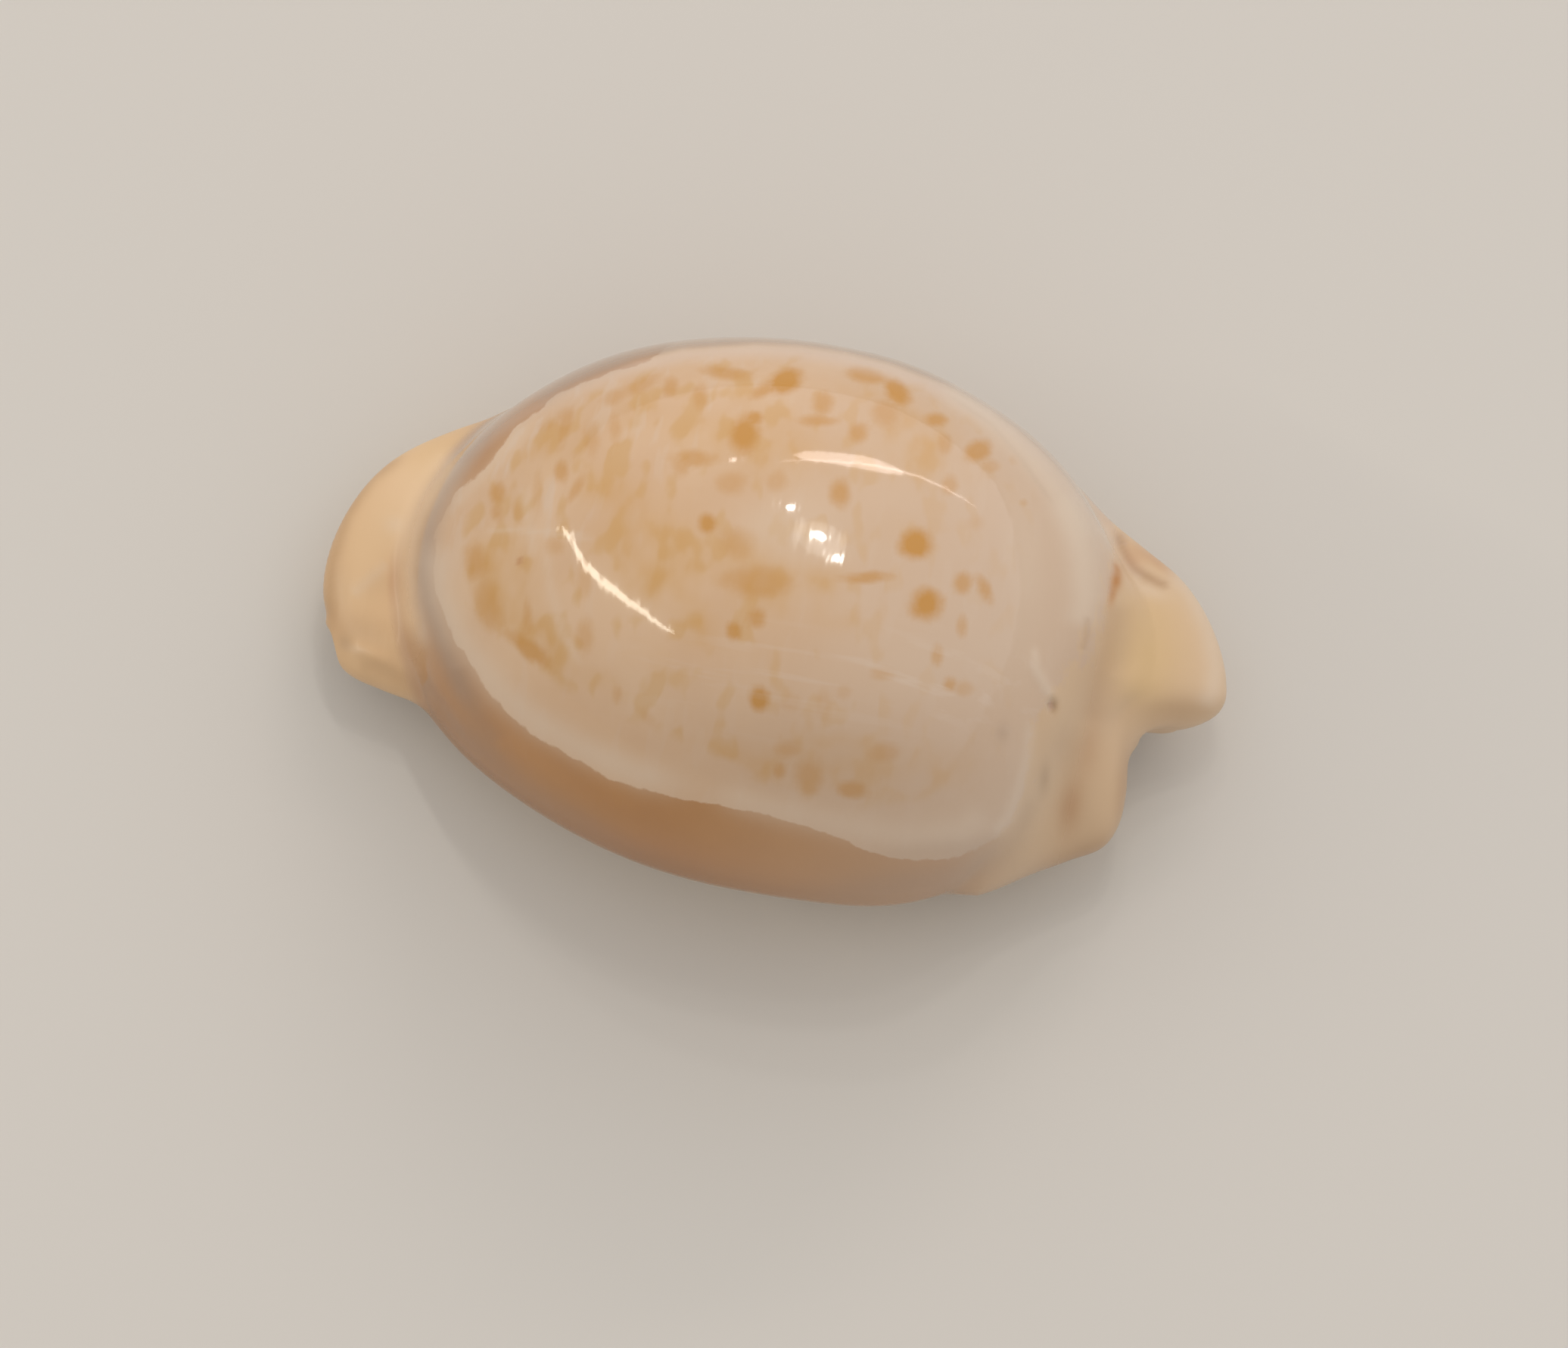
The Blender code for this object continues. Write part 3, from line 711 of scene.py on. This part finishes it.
HAZE = [
    (845, 700, 70, 55, 45), (860, 772, 50, 34, 55, 15), (800, 650, 44, 26, 35), (925, 830, 28, 34, 50),
    (905, 735, 30, 50, 30), (985, 740, 50, 42, 45), (1090, 760, 50, 26, 35), (1109, 822, 40, 26, 30),
    (1150, 905, 34, 20, 20), (930, 570, 60, 34, 35), (985, 520, 22, 30, 35), (1075, 600, 50, 30, 25),
    (1200, 560, 60, 30, 30, 20), (770, 600, 60, 60, 25), (650, 790, 26, 50, 50, -12), (1100, 1010, 130, 46, 35, 8),
    (1220, 580, 70, 50, 25, 30), (1020, 600, 90, 60, 35), (1205, 605, 70, 50, 25, 20), (1110, 978, 40, 12, 25),
    (1190, 700, 70, 40, 20), (1010, 870, 60, 26, 15), (840, 545, 60, 30, 30, -20), (1280, 620, 50, 40, 15, 30),
    (720, 850, 60, 26, 45, 40), (800, 900, 50, 22, 25, 20), (690, 720, 30, 40, 20), (1120, 510, 80, 22, 30, 6),
    (1040, 540, 30, 30, 20), (700, 600, 30, 40, 30, 30), (1250, 1010, 60, 40, 25), (1020, 790, 70, 60, 40),
    (960, 1010, 90, 30, 35, 8), (690, 780, 60, 70, 35), (640, 735, 26, 30, 40), (727, 580, 12, 22, 40, 10),
    (870, 875, 20, 22, 30),
]  # fmt: skip
spot_depth, spot_strength = blots(u, v, SPOTS)
keep("spot_depth", np.where(from_above > 0.05, spot_depth, FAR_OUTSIDE))
keep("spot_strength", spot_strength * from_above)
keep("haze", wash(u, v, HAZE) * from_above)
print("points inside a spot:", int((spot_depth > 0).sum()))

# %% [markdown]
# The ground colours follow the form. The callus of both ends is cream; the flank outside the painted reflection is
# orange-brown, darker where it faces down, which is painted shade; the base pales towards the aperture. How far a point
# lies outside the body's form tells callus from body, so one formula covers every side, seen or not.

# %% Ground colours by place
# Each ease runs between two places in mm, two slopes, or two values of the body's form.
CREASE = [(590, 590), (552, 640), (530, 700), (524, 760), (532, 830), (560, 900)]
level_normal = normals[:, 2]
front_lobe = ease(outside, 1.01, 1.09) * ease(-px, 10.5, 13.5) * (1 - hollow)
rear = ease(px, 8.5, 12.5)
front = ease(-px, 13.0, 15.0) * ease(py, -9.5, -6.0)
keep("front_lobe", front_lobe)
keep("rear", rear)
keep("front", front)
# Painted shade: the flank is darker where its surface faces down.
keep("low", ease(-level_normal, -0.35, 0.1) * (1 - hollow))
keep("margin", ease(outside, 1.02, 1.10) * ease(-pz, -3.2, -1.8) * (1 - hollow))
crease = wash(u, v, (), [(CREASE, 30, 100)])
keep("satin", np.maximum(np.maximum(front_lobe, crease * from_above), ease(px, 12.5, 14.0)))
keep("base", ease(-level_normal, 0.15, 0.75) * (1 - hollow))
keep("posterior", ease(px, -6.0, 9.0))
print("share of points on the front lobe:", round(float((front_lobe > 0.5).mean()), 3))

# %% [markdown]
# Last come the single marks. Each name is one colour, laid in soft ovals and strokes: painted shade in the creases,
# along the lower edges and over the lower left, where less light falls; the grey round the anterior end, with painted
# shade over the lower back and the lower edge; the stains of the ear, and the dark of the pit under the flap, which is
# painted shade; the yellow of the posterior lobe; thin films of white callus among painted highlights and reflections,
# such as the glow round the glints and the bright band inside the upper-right rim; and cream laid as painted light
# along the anterior crease. The strongest is the amber wedge beside the posterior lobe.

# %% Single marks
OVALS = {
    # grey: the band round the anterior end; the wide ovals over the lower back and along the lower edge, and the small
    # one in the canal's corner, are painted shade.
    "grey": [
        (455, 849, 9, 12, 35, -20), (1240, 1120, 90, 16, 30, -6), (1325, 968, 9, 13, 35),
        (1200, 1165, 110, 24, 50, -8), (1060, 1000, 280, 90, 25, 12), (1300, 1135, 50, 24, 50, -24),
        (1355, 1080, 12, 34, 30, 24),
    ],
    # pale: films of white callus, and painted highlights and reflections: the glow round the glints near the middle,
    # the light spot on the anterior lobe, and patches of the painted reflection on the right.
    "pale": [
        (1355, 740, 26, 80, 40, -6), (1330, 850, 50, 60, 20), (1230, 880, 90, 50, 20), (524, 693, 14, 12, 50),
        (1518, 779, 26, 10, 45, 20), (472, 858, 12, 6, 30, 10), (880, 920, 80, 40, 15, 10), (1020, 700, 50, 40, 35),
        (1080, 700, 70, 50, 20),
    ],
    # shade: painted shade in the saddle, on the anterior lobe, at the ear's and lobes' lower edges and on the
    # lower-left flank.
    "shade": [
        (500, 775, 22, 36, 15, 20), (470, 830, 40, 22, 35, 14), (448, 790, 16, 50, 25), (1430, 890, 34, 60, 20, 10),
        (1440, 1060, 60, 90, 15, 10), (1484, 1040, 10, 60, 50, 4), (1425, 1140, 90, 22, 70, -22),
        (1560, 935, 50, 18, 30), (640, 985, 60, 14, 60, 44), (760, 1080, 110, 20, 40, 32), (1410, 985, 30, 40, 30),
    ],
    # brown: stains of the ear; the dark of the small pit under the flap is painted shade.
    "brown": [(1380, 1028, 8, 22, 35, 4), (1391, 933, 6, 9, 70), (1413, 1066, 15, 34, 20, 8)],
    "orange": [
        (520, 762, 9, 30, 30, 4), (687, 741, 4, 4, 90), (1530, 742, 26, 8, 40, 38), (1440, 985, 14, 44, 20, 10),
        (1414, 1066, 16, 34, 35, 8), (1500, 735, 18, 20, 30, 40), (860, 1120, 160, 24, 25, 12),
    ],
    # cream: painted light that lightens the anterior lobe beside the crease.
    "cream": [(540, 640, 40, 50, 60, 30)],
    "amber": [(1475, 767, 7, 13, 100, 10), (1470, 786, 5, 14, 70, 12), (1476, 751, 4, 8, 70, -20)],
    "yellow": [
        (1518, 865, 46, 56, 80, 10), (1515, 905, 30, 26, 50), (570, 612, 26, 40, 50, 40), (1520, 810, 40, 30, 40),
    ],
}  # fmt: skip
STROKES = {
    # grey: the band round the anterior end, a thin line on the upper right, and the darker far rim on the upper left.
    "grey": [
        ([(700, 528), (644, 569), (613, 605), (587, 644), (569, 686), (562, 722), (559, 761), (566, 795), (579, 831),
          (592, 868), (612, 910), (640, 950)], 15, 85),
        ([(1250, 520), (1310, 560), (1350, 606), (1395, 670)], 3, 30),
        ([(840, 468), (790, 484), (745, 505), (705, 530)], 11, 60),
    ],
    # pale: films of white callus along the flap and the crevice, and painted reflections: the bright band inside the
    # upper-right rim, the pale band inside the painted reflection's lower-left edge, and the light along the crease.
    "pale": [
        ([(612, 600), (580, 636), (556, 680), (545, 715), (541, 755), (546, 800), (554, 830), (562, 862)], 9, 50),
        ([(1240, 508), (1300, 546), (1360, 605), (1410, 668), (1440, 720)], 16, 70),
        ([(1452, 690), (1466, 712), (1478, 734), (1494, 752), (1512, 766)], 9, 60),
        ([(1540, 745), (1574, 780), (1598, 830), (1608, 880), (1604, 915), (1588, 940)], 15, 75),
        ([(1400, 650), (1420, 700), (1430, 740), (1434, 790), (1426, 835)], 20, 80),
        (FLAP, 6, 70),
        ([(1364, 945), (1358, 1000), (1347, 1042), (1333, 1080), (1310, 1105)], 9, 50),
        ([(575, 705), (575, 745), (582, 790), (600, 835), (625, 872), (660, 915), (710, 955), (770, 990), (850, 1025),
          (930, 1045)], 22, 60),
        ([(930, 1045), (1030, 1072), (1120, 1092), (1200, 1105), (1270, 1098), (1310, 1070)], 20, 45),
        ([(700, 560), (660, 600), (625, 640), (600, 670)], 8, 30),
        ([(464, 787), (490, 764), (514, 743)], 8, 30),
        ([(640, 702), (680, 700), (730, 704), (790, 712)], 4, 35),
        ([(720, 720), (728, 780), (745, 840), (770, 880)], 7, 30),
        ([(690, 640), (700, 690), (704, 740)], 6, 30),
    ],
    # shade: painted shade along the posterior saddle, the crevice, the canal's underside, the margin groove and the
    # lobe's left edge.
    "shade": [
        ([(1478, 790), (1474, 820), (1464, 855), (1454, 892), (1447, 925), (1443, 960)], 26, 20),
        ([(1474, 800), (1470, 820), (1462, 855), (1452, 892), (1445, 925), (1442, 955)], 12, 12),
        ([(1437, 812), (1436, 840), (1430, 860)], 5, 30),
        ([(472, 878), (496, 877), (514, 887), (540, 902), (565, 925)], 12, 20),
        ([(553, 886), (563, 909), (579, 930), (597, 961), (618, 984), (650, 1012)], 9, 30),
        ([(1478, 700), (1482, 722), (1490, 737), (1500, 752), (1515, 762), (1533, 771), (1548, 774)], 7, 60),
        ([(540, 596), (490, 630), (458, 680), (440, 740), (434, 790), (440, 840)], 10, 40),
        ([(600, 880), (612, 912), (634, 950), (660, 985)], 14, 50),
    ],
    # cream: painted light along the anterior crease, lifting the shade of its valley.
    "cream": [([(600, 585), (566, 625), (546, 664), (536, 700), (530, 750), (534, 800), (548, 850)], 13, 80)],
}  # fmt: skip

for name in OVALS:
    keep(name, wash(u, v, OVALS[name], STROKES.get(name, ())) * from_above)
keep("streaks", 0.2 + 0.8 * wash(u, v, [(690, 610, 120, 110, 100), (860, 540, 160, 70, 60)]))
keep("growth_lines", wash(u, v, [(1230, 900, 150, 50, 100, 8), (1000, 900, 160, 70, 50, 8)]) * from_above)
print("attributes:", [a.name for a in shell_mesh.attributes if a.data_type == "FLOAT"])

# %% [markdown]
# Shader maths reads best as formulas. Wire holds a socket, and its operators add Math nodes; Finish makes every other
# node in one method, from the node's type, its settings and its inputs.

# %% Writing shaders as formulas


class Wire:
    """A shader socket. An operator between it and a number or another Wire adds the Math node that works it out."""

    def __init__(self, finish, socket):
        self.finish = finish
        self.socket = socket

    def maths(self, operation, first, second):
        return self.finish.node("ShaderNodeMath", {"operation": operation}, {0: first, 1: second})

    def __add__(self, other):
        return self.maths("ADD", self, other)

    def __sub__(self, other):
        return self.maths("SUBTRACT", self, other)

    def __rsub__(self, other):
        return self.maths("SUBTRACT", other, self)

    def __mul__(self, other):
        return self.maths("MULTIPLY", self, other)

    __radd__ = __add__
    __rmul__ = __mul__


class Finish:
    """A material and the nodes that make it."""

    def __init__(self, name):
        self.material = bpy.data.materials.new(name)
        self.material.use_nodes = True
        self.tree = self.material.node_tree
        self.surface = self.tree.nodes["Principled BSDF"]

    def node(self, kind, settings, values, output=0):
        """Adds a node: its settings first, then values or Wires into its sockets."""
        made = self.tree.nodes.new(kind)
        for name, value in settings.items():
            setattr(made, name, value)
        for name, value in values.items():
            self.plug(made.inputs[name], value)
        return Wire(self, made.outputs[output])

    def plug(self, socket, value):
        """Links a Wire to the socket, or sets the socket to the value."""
        if isinstance(value, Wire):
            self.tree.links.new(value.socket, socket)
        else:
            socket.default_value = value

    def kept(self, name):
        """The mesh attribute of that name."""
        return self.node("ShaderNodeAttribute", {"attribute_name": name}, {}, "Fac")

    def step(self, value, low, high):
        """Eases from 0 at low to 1 at high."""
        span = {"Value": value, "From Min": low, "From Max": high}
        return self.node("ShaderNodeMapRange", {"interpolation_type": "SMOOTHSTEP"}, span)

    def noise(self, place, scale, detail=3.0, roughness=0.5):
        values = {"Vector": place, "Scale": scale, "Detail": detail, "Roughness": roughness}
        return self.node("ShaderNodeTexNoise", {}, values)

    def stretched(self, place, factors):
        """The place, with each axis multiplied by its factor."""
        return self.node("ShaderNodeVectorMath", {"operation": "MULTIPLY"}, {0: place, 1: factors})

    def blend(self, share, under, over):
        """The colour under, with that share of the colour over on it."""
        return self.node("ShaderNodeMix", {"data_type": "RGBA"}, {0: share, 6: under, 7: over}, 2)

    def layers(self, colour, *rows):
        """The colour with each row's (share, red, green, blue) laid over it, one after another."""
        for share, *over in rows:
            colour = self.blend(share, colour, paint(*over))
        return colour


def paint(red, green, blue):
    """A colour given as 0 to 255 on screen, as the linear numbers that the shader uses."""
    c = np.array([red, green, blue]) / 255
    linear = np.where(c <= 0.04045, c / 12.92, ((c + 0.055) / 1.055) ** 2.4)
    return (*[float(part) for part in linear], 1.0)


print("mid grey on screen is", round(paint(128, 128, 128)[0], 3), "in the shader")

# %% [markdown]
# The finish of the shell: smooth enamel over a pattern in several depths. Colours are laid one over another, from the
# ground up, and noise of about a millimetre breaks every rim, as pigment does in a shell. The gloss is that of glazed
# porcelain, a low roughness under a clear coat, and duller on the callus of the ends. What is the same all over, such
# as the index of refraction, is a number on its own socket.

# %% The shell's finish
RIPPLE_DEPTH = 0.000025
enamel = Finish("shell enamel")
kept, step = enamel.kept, enamel.step
place = enamel.node("ShaderNodeTexCoord", {}, {}, "Object")
broad = enamel.noise(place, 160.0, 4.0)
fine = enamel.noise(place, 900.0, 4.0, 0.6)
patchy = enamel.noise(enamel.stretched(place, (900.0, 560.0, 560.0)), 1.0, 1.5)
grown = enamel.noise(enamel.stretched(place, (1250.0, 300.0, 300.0)), 1.0, 2.0)
lengthwise = enamel.noise(enamel.stretched(place, (90.0, 1700.0, 900.0)), 1.0, 3.0)
posterior = kept("posterior")
rim_noise = (fine - 0.5) * 0.9 + (grown - 0.5) * 0.5

# The cream of the ends, and the orange-brown flank outside the painted reflection, darker where it faces down (painted
# shade).
callus = enamel.blend(step(broad, 0.3, 0.7), paint(220, 181, 136), paint(224, 189, 146))
callus = enamel.layers(callus, (posterior * 0.7, 212, 184, 152), (kept("yellow") * 0.7, 216, 182, 124))
flank = enamel.blend(step(broad, 0.3, 0.7), paint(174, 116, 46), paint(184, 126, 56))
flank = enamel.layers(
    flank,
    (posterior * 0.8, 194, 154, 116),
    # painted shade: a darker brown where the flank faces down
    (kept("low") * (1 - posterior * 0.6) * 0.8, 150, 94, 30),
    (kept("margin") * 0.8, 214, 180, 140),
    (kept("front"), 200, 162, 126),
)
flank = enamel.blend(kept("rear"), flank, callus)

# The ground inside the painted reflection's outline, paler than the flank partly as the reflection of the overhead
# light: warm at the anterior end, grey-pink at the posterior one, with patches and streaks, the haze, the spots and the
# growth lines over it.
ground = enamel.blend(step(broad, 0.35, 0.65), paint(212, 175, 138), paint(218, 184, 149))
in_field = step(kept("pattern_field") + rim_noise * 0.5, -0.25, 0.35)
patches = step(patchy, 0.52, 0.66) * in_field * (1 - posterior * 0.75)
streaks = step(grown, 0.54, 0.68) * kept("streaks")
haze = kept("haze") * in_field
spots = step(kept("spot_depth") + rim_noise, -0.5, 0.65) * kept("spot_strength") * in_field
lines = step(lengthwise, 0.52, 0.68) * kept("growth_lines")
ground = enamel.layers(
    ground,
    (posterior * 0.85, 208, 181, 156),
    (patches * 0.65, 206, 162, 102),
    (streaks * 0.55, 216, 194, 174),
    (step(haze + haze * (patchy - 0.5) * 1.6, 0.05, 0.95), 206, 158, 92),
    (spots * 1.1, 198, 141, 58),
    (lines * 0.4, 222, 202, 184),
)
# Painted reflection: the paler ground lies inside its outline and the flank outside it, with a wavy edge between them.
sharpness = 1 - kept("rear") * 0.85
ground = enamel.blend(step(kept("painted_reflection") * sharpness + rim_noise * 0.45, -0.05, 0.05), flank, ground)
ground = enamel.blend(kept("front_lobe"), ground, callus)

# The pale base; the far rim, a dark line with a pale painted reflection inside it; the single marks, among them
# painted shade and painted highlights; and the inside.
from_rim = kept("from_rim")
dark_line = (1 - step(from_rim, 0.02, 0.3)) * kept("far_rim")
# A pale band just inside the far rim: painted reflection.
rim_reflection = step(from_rim, 0.05, 0.4) * (1 - step(from_rim, 0.4, 1.0)) * kept("far_rim")
ground = enamel.layers(
    ground,
    (kept("base"), 226, 202, 168),
    (rim_reflection * 0.5, 220, 198, 182),
    (dark_line * (0.45 + broad * 0.6), 162, 134, 108),
    # grey and shade carry painted shade, pale and cream painted highlights and reflections, beside the shell's own
    # colours.
    (kept("grey") * 0.8, 160, 132, 108),
    (kept("pale") * 0.8, 222, 202, 180),
    (kept("cream") * 0.8, 238, 206, 168),
    (kept("shade") * 0.8, 156, 114, 74),
    (kept("brown") * 0.9, 136, 98, 52),
    (kept("orange") * 0.8, 178, 112, 54),
    (kept("amber") * 0.95, 188, 118, 24),
    (kept("hollow"), 190, 150, 130),
)

enamel.plug(enamel.surface.inputs["Base Color"], ground)
satin = kept("satin")
enamel.plug(enamel.surface.inputs["Roughness"], 0.05 + fine * 0.05 + satin * 0.24)
enamel.plug(enamel.surface.inputs["Coat Weight"], (1 - satin) * (1 - kept("low")) * 0.5)
ripples = enamel.node("ShaderNodeBump", {}, {"Strength": 1.0, "Distance": RIPPLE_DEPTH, "Height": grown})
enamel.plug(enamel.surface.inputs["Normal"], ripples)
enamel.surface.inputs["IOR"].default_value = 1.5
enamel.surface.inputs["Coat Roughness"].default_value = 0.03
shell_mesh.materials.clear()
shell_mesh.materials.append(enamel.material)
print("nodes in the enamel:", len(enamel.tree.nodes))

# %% [markdown]
# The shell lies on a plain pale floor, matt so that only the shell shines.

# %% The floor
FLOOR_HALF = 0.9
FLOOR_Z = -0.00002
floor_mesh = bpy.data.meshes.new("floor")
corners = [(-FLOOR_HALF, -FLOOR_HALF), (FLOOR_HALF, -FLOOR_HALF), (FLOOR_HALF, FLOOR_HALF), (-FLOOR_HALF, FLOOR_HALF)]
floor_mesh.from_pydata([(x, y, FLOOR_Z) for x, y in corners], [], [(0, 1, 2, 3)])
floor = added("floor", floor_mesh)
matt = Finish("pale floor")
matt.surface.inputs["Base Color"].default_value = paint(214, 210, 204)
matt.surface.inputs["Roughness"].default_value = 0.8
floor_mesh.materials.append(matt.material)

# %% [markdown]
# Studio light. A highlight on a glossy form lies where the camera's line of sight is mirrored into a lamp, so each lamp
# is put along the mirrored direction of the place where its highlight belongs: three small lamps for the white glints
# near the middle with a fainter glow round them, a warm strip for the long curved one on the left, and pinkish ones
# on the upper right. A pale sky all round lights the rest softly, a little brighter towards +Y.

# %% Lights
LAMP_DISTANCE = 0.45
POWER_PER_AREA = 4.0
WHITE = (1.0, 0.97, 0.92)
WARM = (1.0, 0.91, 0.74)
PINK = (1.0, 0.84, 0.76)
GLOW = (1.0, 0.96, 0.88)
SKY_COLOUR = (1.0, 0.97, 0.94, 1.0)
SKY_LEVEL = 0.76
SKY_SLOPE = (0.07, 0.26, 0.0)


def mirrored(place):
    """Where a picture place is seen on the shell, and the direction 2 (n.v) n - v that it mirrors."""
    visible = np.nonzero((facing > 0.05) & (hollow < 0.5))[0]
    near = visible[np.argmin(np.hypot(u[visible] - place[0], v[visible] - place[1]))]
    back = unit(camera_place - points[near])
    return points[near] * MM, 2 * (normals[near] @ back) * normals[near] - back


def lamp(name, start, stop, width, radiance, colour):
    """An area light whose mirror image runs from one picture place to the other."""
    spot_a, way_a = mirrored(start)
    spot_b, way_b = mirrored(stop)
    a, b = spot_a + way_a * LAMP_DISTANCE, spot_b + way_b * LAMP_DISTANCE
    middle, target = (a + b) / 2, (spot_a + spot_b) / 2
    length = max(np.linalg.norm(b - a), width)
    data = bpy.data.lights.new(name, "AREA")
    data.shape = "ELLIPSE"
    data.size, data.size_y = length, width
    data.energy = radiance * POWER_PER_AREA * length * width
    data.color = colour
    toward = unit(middle - target)
    side = b - a if np.linalg.norm(b - a) > 1e-6 else camera_right
    x_axis = unit(side - toward * (side @ toward))
    added(name, data, middle, [x_axis, np.cross(toward, x_axis), toward])
    print(name, "stands at", middle.round(3), "m and measures", round(float(length), 3), "by", width)


lamp("glint left", (1045, 674), (1045, 674), 0.017, 40.0, WHITE)
lamp("glint middle", (1077, 702), (1090, 711), 0.018, 40.0, WHITE)
lamp("glint right", (1106, 740), (1106, 740), 0.015, 40.0, WHITE)
lamp("glint glow", (1070, 690), (1100, 740), 0.070, 1.2, GLOW)
lamp("warm strip", (744, 694), (890, 841), 0.017, 5.5, WARM)
lamp("pink strip", (1050, 604), (1190, 624), 0.050, 3.0, PINK)
lamp("small glint", (971, 602), (972, 611), 0.008, 8.0, PINK)
lamp("pink line", (1030, 612), (1290, 668), 0.007, 3.0, PINK)

sky = bpy.data.worlds.new("studio")
sky.use_nodes = True
tree = sky.node_tree
background = tree.nodes["Background"]
background.inputs["Color"].default_value = SKY_COLOUR
slope = tree.nodes.new("ShaderNodeVectorMath")
slope.operation = "DOT_PRODUCT"
slope.inputs[1].default_value = SKY_SLOPE
level = tree.nodes.new("ShaderNodeMath")
level.inputs[1].default_value = SKY_LEVEL
tree.links.new(tree.nodes.new("ShaderNodeTexCoord").outputs["Generated"], slope.inputs[0])
tree.links.new(slope.outputs["Value"], level.inputs[0])
tree.links.new(level.outputs[0], background.inputs["Strength"])
bpy.context.scene.world = sky
bpy.context.scene.view_settings.view_transform = "Standard"
